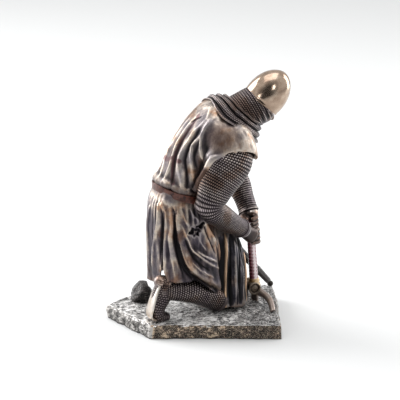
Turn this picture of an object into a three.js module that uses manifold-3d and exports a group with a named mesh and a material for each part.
// A kneeling medieval knight: a cast bronze-finished figure with a planted sword on a rock plinth.
//
// +Z is up, the knight faces -Y and his right hand is on the -X side.
// The origin is the centre of the plinth's flat underside. Lengths are in millimetres.
//
// The figure is a free form, so its pose, proportions and carving are shares of its own height:
// a figure point is written (right, front, up) in hundredths of the figure's height.
import * as THREE from 'three';
import { mergeVertices } from 'three/addons/utils/BufferGeometryUtils.js';
import Module from 'manifold-3d';

// Overall and plinth sizes
const STATUE_HEIGHT = 190;        // underside of the plinth to the crown of the helmet
const PLINTH_THICKNESS = 10.8;
const PLINTH_WIDTH = 122;         // across the knight, X
const PLINTH_DEPTH = 136;         // along the knight, Y
const PLINTH_CHIP = 1.6;          // how far the hewn edge steps in and out
const BOULDER_WIDTH = 18;         // the loose rock cast on behind the foot
const BOULDER_HEIGHT = 14;
const CLEARANCE = 0.3;            // between pieces that touch or grip each other
const FIGURE_SETBACK = 8.2;       // the figure's own centre line stands behind the plinth's centre

// Sword sizes
const SWORD_LEAN = 4;             // degrees, the grip leans back to the knight
const GRIP_DIAMETER = 6.6;
const GRIP_LENGTH = 47;
const COLLAR_HEIGHT = 6.6;
const COLLAR_DIAMETER = 9.4;
const BOSS_DIAMETER = 9.6;        // the round medallion in the middle of the guard
const BOSS_THICKNESS = 9.5;
const QUILLON_REACH = 31.5;       // from the grip's axis to a quillon's tip
const QUILLON_THICKNESS = 4.6;
const BLADE_WIDTH = 10.5;
const BLADE_THICKNESS = 5.8;
const GUARD_HEIGHT = 9;        // middle of the guard above the rock

const FIGURE_HEIGHT = STATUE_HEIGHT - PLINTH_THICKNESS;
const SHARE = FIGURE_HEIGHT / 100;
const GROUND = PLINTH_THICKNESS;
const STANDING = GROUND + CLEARANCE;

const wasm = await Module();
wasm.setup();

// Points and small helpers

function point([right, front, up]) {
  return new THREE.Vector3(-right * SHARE, FIGURE_SETBACK - front * SHARE, GROUND + up * SHARE);
}

function wave(angle, count, phase) {
  return Math.cos(count * angle + phase);
}

function ramp(value, low, high) {
  return THREE.MathUtils.smoothstep(value, low, high);
}

// A value read off evenly spaced stations with smooth steps between them
function along(stations, t) {
  const place = t * (stations.length - 1);
  const index = Math.min(Math.floor(place), stations.length - 2);
  const mix = place - index;
  const before = stations[Math.max(index - 1, 0)];
  const from = stations[index];
  const to = stations[index + 1];
  const after = stations[Math.min(index + 2, stations.length - 1)];
  const inward = (to - before) / 2;
  const outward = (after - from) / 2;
  const square = mix * mix;
  const cube = square * mix;
  return from * (2 * cube - 3 * square + 1) + inward * (cube - 2 * square + mix)
    + to * (3 * square - 2 * cube) + outward * (cube - square);
}

// Closed bodies

function signedVolume(points, triangles) {
  let sum = 0;
  for (let i = 0; i < triangles.length; i += 3) {
    const [a, b, c] = [points[triangles[i]], points[triangles[i + 1]], points[triangles[i + 2]]];
    sum += a.dot(new THREE.Vector3().crossVectors(b, c));
  }
  return sum / 6;
}

// A closed skin over rings that all run the same way round, each end closed by a fan
function closedLoft(rings) {
  const sides = rings[0].length;
  const points = rings.flat();
  const triangles = [];
  for (let r = 0; r + 1 < rings.length; r += 1) {
    for (let s = 0; s < sides; s += 1) {
      const next = (s + 1) % sides;
      const a = r * sides + s;
      const b = r * sides + next;
      const c = (r + 1) * sides + next;
      const d = (r + 1) * sides + s;
      triangles.push(a, b, c, a, c, d);
    }
  }
  for (const [ring, first] of [[rings[0], 0], [rings.at(-1), (rings.length - 1) * sides]]) {
    const middle = new THREE.Vector3();
    ring.forEach((corner) => middle.addScaledVector(corner, 1 / sides));
    const hub = points.push(middle) - 1;
    for (let s = 0; s < sides; s += 1) {
      const next = (s + 1) % sides;
      const edge = first === 0 ? [next, s] : [first + s, first + next];
      triangles.push(...edge, hub);
    }
  }
  if (signedVolume(points, triangles) < 0) triangles.reverse();
  return solidFrom(points, triangles);
}

function solidFrom(points, triangles) {
  return new wasm.Manifold(new wasm.Mesh({
    numProp: 3,
    vertProperties: new Float32Array(points.flatMap((corner) => corner.toArray())),
    triVerts: new Uint32Array(triangles),
  }));
}

function solidFromGeometry(geometry) {
  const bare = geometry.clone();
  bare.deleteAttribute('normal');
  bare.deleteAttribute('uv');
  const merged = mergeVertices(bare, 1e-4);
  return new wasm.Manifold(new wasm.Mesh({
    numProp: 3,
    vertProperties: new Float32Array(merged.attributes.position.array),
    triVerts: new Uint32Array(merged.index.array),
  }));
}

function joined(solids) {
  return solids.reduce((whole, solid) => whole.add(solid));
}

// A limb: rounded sections along a smooth line through its joints.
// Each station is { at, wide, deep }: the half-width along `side` and the half-depth across it.
function limb(stations, { side = [1, 0, 0], sides = 12, rings = 8, ends = 2, shape } = {}) {
  const sideways = new THREE.Vector3(-side[0], -side[1], side[2]);
  const path = new THREE.CatmullRomCurve3(stations.map(({ at }) => point(at)), false, 'centripetal');
  const wides = stations.map(({ wide }) => wide * SHARE);
  const deeps = stations.map(({ deep, wide }) => (deep ?? wide) * SHARE);
  const loops = [];
  const addRing = (t, scale, push) => {
    const centre = path.getPoint(t);
    const tangent = path.getTangent(t);
    const across = sideways.clone().addScaledVector(tangent, -sideways.dot(tangent)).normalize();
    const through = new THREE.Vector3().crossVectors(tangent, across);
    const loop = [];
    for (let s = 0; s < sides; s += 1) {
      const angle = (2 * Math.PI * s) / sides;
      const swell = shape ? shape(angle, t) : 1;
      loop.push(centre.clone()
        .addScaledVector(across, Math.cos(angle) * along(wides, t) * scale * swell)
        .addScaledVector(through, Math.sin(angle) * along(deeps, t) * scale * swell)
        .addScaledVector(tangent, push));
    }
    loops.push(loop);
  };
  for (let e = ends; e > 0; e -= 1) {
    const turn = (Math.PI / 2) * (e / (ends + 0.35));
    addRing(0, Math.cos(turn), -Math.sin(turn) * Math.min(wides[0], deeps[0]));
  }
  for (let r = 0; r <= rings; r += 1) addRing(r / rings, 1, 0);
  for (let e = 1; e <= ends; e += 1) {
    const turn = (Math.PI / 2) * (e / (ends + 0.35));
    addRing(1, Math.cos(turn), Math.sin(turn) * Math.min(wides.at(-1), deeps.at(-1)));
  }
  return closedLoft(loops);
}

// A body of cloth or mail given by one formula: corner(angle, t) is a figure point,
// angle 0 points to the knight's right and a quarter turn points to his front
function draped(sides, rings, corner) {
  const loops = [];
  for (let r = 0; r <= rings; r += 1) {
    const loop = [];
    for (let s = 0; s < sides; s += 1) {
      loop.push(point(corner((2 * Math.PI * s) / sides, r / rings)));
    }
    loops.push(loop);
  }
  return closedLoft(loops);
}

function ellipsoid(at, radii, turn = [0, 0, 0], detail = [12, 8]) {
  const geometry = new THREE.SphereGeometry(1, detail[0], detail[1]);
  geometry.scale(radii[0] * SHARE, radii[1] * SHARE, radii[2] * SHARE);
  const euler = new THREE.Euler(...turn.map((degrees) => THREE.MathUtils.degToRad(degrees)));
  geometry.applyQuaternion(new THREE.Quaternion().setFromEuler(euler));
  geometry.translate(...point(at).toArray());
  return solidFromGeometry(geometry);
}

// Everything below the ground plane is cut away, so what stands on the rock is flat underneath
function aboveGround(solid) {
  const slab = new THREE.BoxGeometry(4 * PLINTH_WIDTH, 4 * PLINTH_DEPTH, STATUE_HEIGHT);
  slab.translate(0, 0, STANDING - STATUE_HEIGHT / 2);
  return solid.subtract(solidFromGeometry(slab));
}

function mesh(name, solid, color, roughness, metalness) {
  const { numProp, vertProperties, triVerts } = solid.getMesh();
  const positions = new Float32Array((vertProperties.length / numProp) * 3);
  for (let i = 0; i < positions.length / 3; i += 1) {
    for (let axis = 0; axis < 3; axis += 1) positions[3 * i + axis] = vertProperties[numProp * i + axis];
  }
  const geometry = new THREE.BufferGeometry();
  geometry.setAttribute('position', new THREE.BufferAttribute(positions, 3));
  geometry.setIndex(new THREE.BufferAttribute(new Uint32Array(triVerts), 1));
  geometry.computeVertexNormals();
  const object = new THREE.Mesh(geometry, new THREE.MeshStandardMaterial({ color, roughness, metalness }));
  object.name = name;
  return object;
}

// Plinth: an irregular eight-cornered slab of hewn rock with one boulder on it.
// Its corners are shares of half its width and half its depth.
const PLINTH_CORNERS = [
  [-0.44, 0.785], [-1, -0.58], [-0.21, -0.82], [0.46, -1],
  [0.92, -0.56], [1, 0.06], [0.75, 0.62], [0.5, 1],
];

function plinthOutline(inset, seed) {
  const half = new THREE.Vector2(PLINTH_WIDTH / 2, PLINTH_DEPTH / 2);
  const corners = PLINTH_CORNERS.map(([x, y]) => new THREE.Vector2(x, y).multiply(half));
  const steps = 5;
  const outline = [];
  corners.forEach((corner, index) => {
    const next = corners[(index + 1) % corners.length];
    for (let s = 0; s < steps; s += 1) {
      const spot = corner.clone().lerp(next, s / steps);
      const turn = index * steps + s;
      const chip = (0.5 + 0.5 * Math.sin(turn * 2.4 + seed) * Math.cos(turn * 1.1 - seed)) * PLINTH_CHIP;
      const reach = spot.length();
      outline.push(spot.multiplyScalar((reach - inset - chip) / reach));
    }
  });
  return outline;
}

function plinth() {
  const levels = [
    { up: 0, inset: 0.6, seed: 0.4 },
    { up: 0.22, inset: 0, seed: 0.4 },
    { up: 0.55, inset: 0.2, seed: 1.9 },
    { up: 0.86, inset: 0.1, seed: 3.1 },
    { up: 1, inset: 1.1, seed: 3.1 },
  ];
  const rings = levels.map(({ up, inset, seed }) => plinthOutline(inset, seed)
    .map(({ x, y }) => new THREE.Vector3(x, y, up * PLINTH_THICKNESS)));
  return closedLoft(rings);
}

function boulder() {
  const rock = new THREE.IcosahedronGeometry(1, 1);
  const place = rock.attributes.position;
  for (let i = 0; i < place.count; i += 1) {
    const v = new THREE.Vector3().fromBufferAttribute(place, i);
    const rough = 1 + 0.09 * Math.sin(5 * v.x + 1) * Math.cos(4 * v.y) + 0.07 * Math.sin(7 * v.z + 3 * v.x);
    v.multiplyScalar(rough);
    place.setXYZ(i, v.x * BOULDER_WIDTH / 2, v.y * BOULDER_WIDTH / 2, v.z * BOULDER_HEIGHT * 0.62);
  }
  const [x, y] = point([-17.6, -16.7, 0]).toArray();
  rock.translate(x, y, GROUND + BOULDER_HEIGHT * 0.38);
  return solidFromGeometry(rock);
}

// Trunk of the surcoat, from the belt up to the neck
const TRUNK = {
  right: [0, 0, 0, 0.3, 0.6, 0.4, 0],
  front: [-5.2, -4.4, -1.0, 3.8, 8.0, 11.8, 14.0],
  up: [50.5, 56.5, 63.5, 70.5, 77.2, 82.6, 85.6],
  wide: [12.2, 12.6, 13.4, 15.2, 16.2, 13.4, 8.8],
  deep: [10.6, 10.4, 10.0, 10.4, 9.8, 8.4, 6.0],
  lean: [0.26, 0.28, 0.34, 0.4, 0.5, 0.62, 0.75],
};

function trunk() {
  return draped(28, 7, (angle, t) => {
    const wide = along(TRUNK.wide, t);
    const deep = along(TRUNK.deep, t);
    const folds = 0.5 * wave(angle, 5, 0.6) * ramp(t, 0, 0.3) * (1 - ramp(t, 0.55, 0.9));
    const sideways = Math.cos(angle) * (wide + folds);
    const forward = Math.sin(angle) * (deep + folds);
    const lean = along(TRUNK.lean, t);
    const level = Math.cos(Math.atan(lean));
    return [
      along(TRUNK.right, t) + sideways,
      along(TRUNK.front, t) + forward * level,
      along(TRUNK.up, t) - forward * lean * level,
    ];
  });
}

// Blouse of cloth that bags over the belt, and the belt itself
function beltRing(grow, rise) {
  return (angle) => {
    const forward = Math.sin(angle) * (11.2 + grow);
    return [Math.cos(angle) * (12.6 + grow), -5.2 + forward, 51.0 + rise - 0.3 * forward];
  };
}

function belt() {
  const sections = [[0, -1.9], [0.9, -1.7], [0.9, 1.7], [0, 1.9]];
  return draped(30, sections.length - 1, (angle, t) => {
    const [grow, rise] = sections[Math.round(t * (sections.length - 1))];
    return beltRing(grow, rise)(angle);
  });
}

function blouse() {
  const sections = [[-0.6, 1.6], [0.7, 2.1], [0.8, 3.6], [-2.0, 6.4]];
  return draped(30, sections.length - 1, (angle, t) => {
    const [grow, rise] = sections[Math.round(t * (sections.length - 1))];
    const swell = grow > 0 ? 0.45 * wave(angle, 9, 1.2) : 0;
    return beltRing(grow + swell, rise)(angle);
  });
}

// Skirt over the hips and the kneeling right thigh, its hem lifted over the calf
const SKIRT = {
  right: [0, 0.4, 0.8, 1.0, 1.2, 1.4],
  front: [-5.2, -5.4, -5.0, -4.6, -4.4, -4.4],
  wide: [12.2, 13.8, 14.4, 14.2, 14.0, 14.2],
  back: [11.0, 13.2, 14.0, 14.2, 14.2, 14.0],
  fore: [11.0, 12.2, 13.2, 13.6, 13.6, 13.4],
};
const SLIT_ANGLE = -0.9;          // the rear slit, seen from his right

function skirtHem(angle) {
  const forward = Math.sin(angle);
  const right = Math.cos(angle);
  const lifted = 4.2 * Math.max(0, right) ** 2;
  const slit = 7 * Math.max(0, 1 - Math.abs(angle - 2 * Math.PI - SLIT_ANGLE) / 0.17);
  return 16.0 + lifted + slit - 7.5 * ramp(forward, 0.05, 0.85);
}

function skirt() {
  return draped(48, 6, (angle, t) => {
    const forward = Math.sin(angle);
    const squared = 1 / (Math.abs(Math.cos(angle)) ** 2.6 + Math.abs(forward) ** 2.6) ** (1 / 2.6);
    const sweep = angle - 0.7 * t * t * ramp(Math.cos(angle), 0, 0.8);
    const sharp = Math.abs(wave(sweep, 5.5, 0.9));
    const folds = (1.9 * sharp - 1.0 + 0.4 * wave(sweep, 17, 2)) * ramp(t, 0.05, 0.75);
    const reach = forward > 0 ? along(SKIRT.fore, t) : along(SKIRT.back, t);
    const tilt = -0.3 * forward * reach * (1 - t);
    return [
      along(SKIRT.right, t) + Math.cos(angle) * (along(SKIRT.wide, t) + folds) * squared,
      along(SKIRT.front, t) + forward * (reach + folds) * squared,
      51.6 * (1 - t) + skirtHem(angle) * t + tilt,
    ];
  });
}

// Front fall of the surcoat: it hangs from the lap and the raised left knee down to the rock
const FALL = {
  right: [-5.5, -5.4, -5.0, -4.6, -4.4, -4.2],
  front: [6.5, 8.2, 9.8, 10.8, 11.5, 12.2],
  wide: [9.0, 12.0, 13.2, 13.6, 14.0, 14.4],
  deep: [9.5, 11.2, 11.6, 11.6, 11.5, 11.4],
};

function fall() {
  return draped(46, 5, (angle, t) => {
    const squared = 1 / (Math.abs(Math.cos(angle)) ** 2.5 + Math.abs(Math.sin(angle)) ** 2.5) ** (1 / 2.5);
    const sharp = Math.abs(wave(angle, 8.5, 0.3));
    const folds = (2.2 * sharp - 1.2) * ramp(t, 0, 0.6);
    return [
      along(FALL.right, t) + Math.cos(angle) * (along(FALL.wide, t) + folds) * squared,
      along(FALL.front, t) + Math.sin(angle) * (along(FALL.deep, t) + folds) * squared,
      38.5 * (1 - t) + (1.6 + 0.5 * wave(angle, 4, 1)) * t,
    ];
  });
}

// Shoulder capes of the surcoat: wide, short sleeves that stand away from the mail
function shoulderCape(hand) {
  return draped(18, 5, (angle, t) => {
    const outward = Math.cos(angle);
    const forward = Math.sin(angle);
    const arch = 6.5 * t * Math.max(0, outward);
    return [
      hand * (along([4.5, 9.5, 12.4, 13.4], t) + along([3.0, 6.2, 7.4, 7.6], t) * outward),
      along([12.0, 11.6, 11.0, 10.6], t) + along([4.0, 8.4, 11.2, 12.4], t) * forward,
      along([83.6, 79.0, 72.0, 65.2], t) + arch,
    ];
  });
}

// Arms in mail: wide at the shoulder, bent at the elbow, both hands on the grip
function rightArm() {
  return limb([
    { at: [12.0, 12.0, 76], wide: 10.0, deep: 6.4 },
    { at: [15.6, 9.6, 66.4], wide: 10.4, deep: 6.0 },
    { at: [17.6, 3.0, 56], wide: 7.4, deep: 5.6 },
    { at: [17.2, 1.0, 49.0], wide: 6.0, deep: 5.6 },
    { at: [14.0, 7.4, 42.8], wide: 4.9, deep: 5.0 },
    { at: [10.0, 14.0, 38.0], wide: 4.1, deep: 4.2 },
    { at: [7.0, 19.0, 34.6], wide: 3.5, deep: 3.5 },
  ], { side: [0.2, -1, -0.2], sides: 12, rings: 8, ends: 1 });
}

function leftArm() {
  return limb([
    { at: [-12.5, 12.0, 76], wide: 8.6, deep: 6.4 },
    { at: [-15.8, 15.0, 65], wide: 7.6, deep: 6.0 },
    { at: [-16.6, 21.4, 55.0], wide: 5.8, deep: 5.4 },
    { at: [-14.8, 24.8, 48.5], wide: 5.0, deep: 5.0 },
    { at: [-10.8, 26.4, 42.0], wide: 4.3, deep: 4.4 },
    { at: [-6.8, 27.2, 36.6], wide: 3.8, deep: 4.0 },
  ], { side: [0.2, -1, -0.2], sides: 12, rings: 7, ends: 1 });
}

// The hands close round the grip. A place round it is a turn about its axis in degrees (0 is to his right,
// 90 to his front), how far out from the leather it lies and how high, the last two in shares.
const SWORD_SPOT = { right: -0.8, front: 27.8 };
const GRIP_SHARE = (GRIP_DIAMETER / 2 + CLEARANCE) / SHARE;

function aroundGrip(turn, out, up) {
  const angle = THREE.MathUtils.degToRad(turn);
  const lean = up * Math.tan(THREE.MathUtils.degToRad(SWORD_LEAN));
  return [
    SWORD_SPOT.right + Math.cos(angle) * (GRIP_SHARE + out),
    SWORD_SPOT.front - lean + Math.sin(angle) * (GRIP_SHARE + out),
    up,
  ];
}

// Fingers one under the other, each from the knuckle to the tip
function fingers(count, turns, outs, top) {
  const thickness = [1.0, 1.0, 0.95, 0.85];
  return Array.from({ length: count }, (_, index) => {
    const up = top - 1.7 * index;
    const stations = turns.map((turn, joint) => (
      { at: aroundGrip(turn, outs[joint], up - 0.2 * joint), wide: thickness[joint] }
    ));
    return limb(stations, { side: [0, 0, 1], sides: 6, rings: 3, ends: 1 });
  });
}

function rightHand() {
  const palm = limb([
    { at: [7.0, 19.4, 34.4], wide: 2.3, deep: 2.5 },
    { at: aroundGrip(-36, 4.6, 32.2), wide: 2.4, deep: 3.0 },
    { at: aroundGrip(-14, 2.3, 29.8), wide: 2.1, deep: 3.3 },
  ], { side: [1, 0, 0], sides: 10, rings: 4, ends: 2 });
  const thumb = limb([
    { at: aroundGrip(-35, 4.4, 33.4), wide: 1.2 },
    { at: aroundGrip(-50, 2.2, 33.2), wide: 1.15 },
    { at: aroundGrip(-84, 0.8, 32.6), wide: 1.0 },
  ], { side: [0, 0, 1], sides: 6, rings: 3, ends: 1 });
  return joined([palm, thumb, ...fingers(4, [-10, 36, 84, 134], [2.1, 1.3, 0.7, 0.6], 31.8)]);
}

function leftHand() {
  const palm = limb([
    { at: [-6.6, 27.2, 36.8], wide: 2.3, deep: 2.7 },
    { at: aroundGrip(176, 1.9, 35.4), wide: 2.3, deep: 3.0 },
    { at: aroundGrip(186, 0.8, 32.8), wide: 2.1, deep: 2.8 },
    { at: aroundGrip(190, 0.6, 29.6), wide: 1.8, deep: 2.3 },
  ], { side: [1, 0, 0], sides: 10, rings: 5, ends: 2 });
  const thumb = limb([
    { at: aroundGrip(196, 1.7, 36.2), wide: 1.3 },
    { at: aroundGrip(246, 1.0, 36.6), wide: 1.2 },
    { at: aroundGrip(306, 0.8, 36.2), wide: 1.05 },
  ], { side: [0, 0, 1], sides: 6, rings: 3, ends: 1 });
  return joined([palm, thumb, ...fingers(3, [172, 114, 54, 6], [1.0, 0.7, 0.7, 0.9], 37.2)]);
}

// Mail coif, the rolled mail mantle below it, the head inside and the bare skull cap on top
const NECK = { root: [0, 16.5, 79.0], brow: [1.4, 29.6, 87.0] };

function coif() {
  return limb([
    { at: NECK.root, wide: 9.4, deep: 9.6 },
    { at: [0.4, 21.4, 82.2], wide: 8.4, deep: 8.8 },
    { at: [0.9, 25.6, 84.8], wide: 7.8, deep: 8.3 },
    { at: NECK.brow, wide: 7.4, deep: 7.9 },
  ], { sides: 16, rings: 3, ends: 1 });
}

function mantle() {
  const stations = [
    { at: [0.4, 11.0, 75.2], wide: 14.4, deep: 11.6 },
    { at: [0.4, 14.0, 77.8], wide: 14.2, deep: 12.0 },
    { at: [0.4, 17.2, 80.2], wide: 12.4, deep: 11.4 },
    { at: [0.3, 20.4, 82.3], wide: 9.4, deep: 9.5 },
  ];
  const ridges = (angle, t) => 1 + 0.035 * wave(t, 2 * Math.PI * 3, 0);
  return limb(stations, { sides: 18, rings: 9, ends: 0, shape: ridges });
}

// The skull cap is an egg: full just above its rim, blunt at the crown
const CAP = { rim: [1.2, 28.6, 86.0], axis: [0.09, 0.63, 0.77], length: 16.4, bulge: 3.8, radius: 8.2, deeper: 1.05 };

function helmet() {
  const levels = [0, 0.16, 0.34, 0.52, 0.68, 0.81, 0.91, 0.98];
  const [aside, ahead, upward] = CAP.axis;
  return draped(18, levels.length - 1, (angle, t) => {
    const spot = levels[Math.round(t * (levels.length - 1))] * CAP.length;
    const share = (spot - CAP.bulge) / (CAP.length - CAP.bulge);
    const radius = CAP.radius * (1 - Math.abs(share) ** 2.1) ** 0.55;
    const forward = Math.sin(angle) * radius * CAP.deeper;
    return [
      CAP.rim[0] + aside * spot + Math.cos(angle) * radius,
      CAP.rim[1] + ahead * spot + upward * forward,
      CAP.rim[2] + upward * spot - ahead * forward,
    ];
  });
}

function face() {
  const head = ellipsoid([0.8, 31.0, 82.6], [5.2, 5.4, 6.2], [40, 0, 0], [10, 7]);
  const nose = limb([
    { at: [0.9, 35.4, 83.8], wide: 0.7, deep: 0.9 },
    { at: [0.8, 36.2, 81.4], wide: 1.1, deep: 1.3 },
  ], { sides: 7, rings: 2, ends: 1 });
  return head.add(nose);
}

// Legs: the right knee on the ground with the foot on its toes, the left foot flat
function rightLeg() {
  return limb([
    { at: [6.6, 8.2, 4.7], wide: 4.9, deep: 5.0 },
    { at: [7.4, 3.8, 7.6], wide: 5.2, deep: 5.3 },
    { at: [8.6, -3.0, 10.6], wide: 5.3, deep: 5.3 },
    { at: [9.0, -10.0, 11.8], wide: 4.6, deep: 4.6 },
    { at: [9.0, -16.2, 12.4], wide: 3.7, deep: 3.9 },
  ], { sides: 12, rings: 6, ends: 2 });
}

function rightFoot() {
  const shoe = limb([
    { at: [9.0, -16.4, 15.2], wide: 3.3, deep: 3.5 },
    { at: [9.0, -17.4, 10.0], wide: 3.5, deep: 4.1 },
    { at: [9.0, -19.2, 5.2], wide: 3.9, deep: 3.2 },
    { at: [9.0, -18.6, 1.6], wide: 3.9, deep: 3.0 },
    { at: [9.0, -15.4, 1.2], wide: 3.0, deep: 1.6 },
  ], { sides: 10, rings: 6, ends: 2 });
  const sole = limb([
    { at: [9.0, -17.8, 18.4], wide: 2.7, deep: 0.9 },
    { at: [9.0, -19.6, 13.0], wide: 2.9, deep: 0.8 },
    { at: [9.0, -21.6, 7.0], wide: 3.7, deep: 0.8 },
    { at: [9.0, -22.6, 2.4], wide: 3.7, deep: 0.8 },
    { at: [9.0, -20.6, 0.6], wide: 3.3, deep: 0.8 },
  ], { sides: 8, rings: 6, ends: 1 });
  const heel = limb([
    { at: [9.0, -15.6, 15.6], wide: 3.1, deep: 3.0 },
    { at: [9.0, -17.6, 16.2], wide: 2.9, deep: 2.9 },
  ], { sides: 10, rings: 2, ends: 1 });
  return joined([shoe, sole, heel]);
}

function leftThigh() {
  return limb([
    { at: [-5.0, -8.0, 37.0], wide: 9.0, deep: 9.0 },
    { at: [-9.0, 3.0, 34.5], wide: 8.4, deep: 8.4 },
    { at: [-12.4, 13.4, 31.4], wide: 6.6, deep: 7.0 },
  ], { sides: 12, rings: 4, ends: 2 });
}

function leftFoot() {
  return limb([
    { at: [-12.5, 9.0, 4.0], wide: 3.8, deep: 4.6 },
    { at: [-12.8, 14.0, 3.0], wide: 3.7, deep: 3.6 },
    { at: [-13.4, 20.4, 1.9], wide: 4.0, deep: 2.4 },
    { at: [-13.8, 24.0, 1.2], wide: 2.6, deep: 1.6 },
  ], { sides: 10, rings: 5, ends: 2 });
}

// Empty scabbard at the left hip, its chape resting just off the rock in front of the left foot
function scabbard() {
  const sheath = limb([
    { at: [-13.5, -2.0, 50.5], wide: 1.6, deep: 2.4 },
    { at: [-16.8, 14.0, 32.2], wide: 1.5, deep: 2.2 },
    { at: [-17.0, 27.6, 16.2], wide: 1.4, deep: 2.0 },
    { at: [-14.6, 39.0, 2.9], wide: 1.1, deep: 1.5 },
  ], { sides: 8, rings: 6, ends: 1 });
  const finial = ellipsoid([-13.9, 39.7, 1.7], [1.3, 1.3, 1.3], [0, 0, 0], [8, 6]);
  return sheath.add(finial);
}

// Sword: planted in the rock, its guard just above the ground.
// It is built upright on its own foot, then leaned and set on the plinth.
function swordPlacement() {
  const [x, y] = point([SWORD_SPOT.right, SWORD_SPOT.front, 0]).toArray();
  const lean = new THREE.Matrix4().makeRotationX(-THREE.MathUtils.degToRad(SWORD_LEAN));
  return new THREE.Matrix4().makeTranslation(x, y, GROUND).multiply(lean);
}

function placed(geometry) {
  return solidFromGeometry(geometry.applyMatrix4(swordPlacement()));
}

function turned(profile, sides) {
  const outline = profile.map(([radius, up]) => new THREE.Vector2(radius, up));
  return new THREE.LatheGeometry(outline, sides).rotateX(Math.PI / 2);
}

const COLLAR_FOOT = GUARD_HEIGHT + BOSS_DIAMETER * 0.3;
const GRIP_FOOT = COLLAR_FOOT + COLLAR_HEIGHT * 0.5;

function grip(extra = 0) {
  const radius = GRIP_DIAMETER / 2 + extra;
  const top = GRIP_FOOT + GRIP_LENGTH + extra;
  return placed(turned([
    [0, GRIP_FOOT], [radius, GRIP_FOOT], [radius, top - GRIP_DIAMETER * 0.2],
    [radius * 0.75, top], [0, top],
  ], 12));
}

function collar() {
  const radius = COLLAR_DIAMETER / 2;
  const rise = (share) => COLLAR_FOOT + share * COLLAR_HEIGHT;
  return placed(turned([
    [0, rise(-0.3)], [radius, rise(-0.3)], [radius, rise(0.22)], [radius * 0.86, rise(0.34)],
    [radius * 0.86, rise(0.62)], [radius * 0.94, rise(0.7)], [radius * 0.94, rise(0.86)],
    [radius * 0.8, rise(1)], [0, rise(1)],
  ], 12));
}

function boss() {
  const radius = BOSS_DIAMETER / 2;
  const half = BOSS_THICKNESS / 2;
  const geometry = turned([
    [0, -half + 0.7], [radius * 0.7, -half + 0.7], [radius * 0.76, -half], [radius, -half + 0.4],
    [radius, half - 0.4], [radius * 0.76, half], [radius * 0.7, half - 0.7], [0, half - 0.7],
  ], 14);
  geometry.rotateY(Math.PI / 2);
  geometry.translate(0, 0, GUARD_HEIGHT);
  return placed(geometry);
}

function quillon(hand) {
  const stations = 7;
  const sides = 8;
  const loops = [];
  for (let s = 0; s <= stations; s += 1) {
    const t = s / stations;
    const reach = QUILLON_REACH * (0.04 + 0.96 * t);
    const drop = (GUARD_HEIGHT * 0.78 + QUILLON_THICKNESS * 0.1) * t ** 2.6 + GUARD_HEIGHT * 0.12;
    const slope = (GUARD_HEIGHT * 0.78 * 2.6 * t ** 1.6) / (QUILLON_REACH * 0.96);
    const turn = Math.atan(slope);
    const tall = QUILLON_THICKNESS * (0.62 - 0.12 * t) * (t > 0.99 ? 0.6 : 1);
    const deep = QUILLON_THICKNESS * (0.5 - 0.06 * t) * (t > 0.99 ? 0.6 : 1);
    const loop = [];
    for (let c = 0; c < sides; c += 1) {
      const angle = (2 * Math.PI * c) / sides;
      const up = Math.sin(angle) * tall;
      loop.push(new THREE.Vector3(
        hand * (reach + up * Math.sin(turn)),
        Math.cos(angle) * deep,
        GUARD_HEIGHT - drop + up * Math.cos(turn),
      ).applyMatrix4(swordPlacement()));
    }
    loops.push(loop);
  }
  return closedLoft(loops);
}

function blade() {
  const outline = new THREE.Shape([
    new THREE.Vector2(-BLADE_WIDTH / 2, 0), new THREE.Vector2(0, -BLADE_THICKNESS / 2),
    new THREE.Vector2(BLADE_WIDTH / 2, 0), new THREE.Vector2(0, BLADE_THICKNESS / 2),
  ]);
  const geometry = new THREE.ExtrudeGeometry(outline, { depth: GUARD_HEIGHT * 1.6, bevelEnabled: false });
  geometry.translate(0, 0, -GUARD_HEIGHT * 0.6);
  return placed(geometry);
}

function sword() {
  return aboveGround(joined([grip(), collar(), boss(), quillon(1), quillon(-1), blade()]));
}

function knight() {
  const body = joined([
    trunk(), blouse(), belt(), skirt(), fall(), leftThigh(), leftFoot(), rightLeg(), rightFoot(),
    shoulderCape(1), shoulderCape(-1), rightArm(), leftArm(), rightHand(), leftHand(),
    mantle(), coif(), face(), helmet(), scabbard(),
  ]);
  return aboveGround(body).subtract(grip(CLEARANCE));
}

const statue = new THREE.Group();
statue.add(mesh('plinth', plinth().add(boulder()), 0x6a5a4a, 0.7, 0.3));
statue.add(mesh('knight', knight(), 0x5a4c44, 0.4, 0.8));
statue.add(mesh('sword', sword(), 0x6a4a48, 0.4, 0.6));

export default statue;
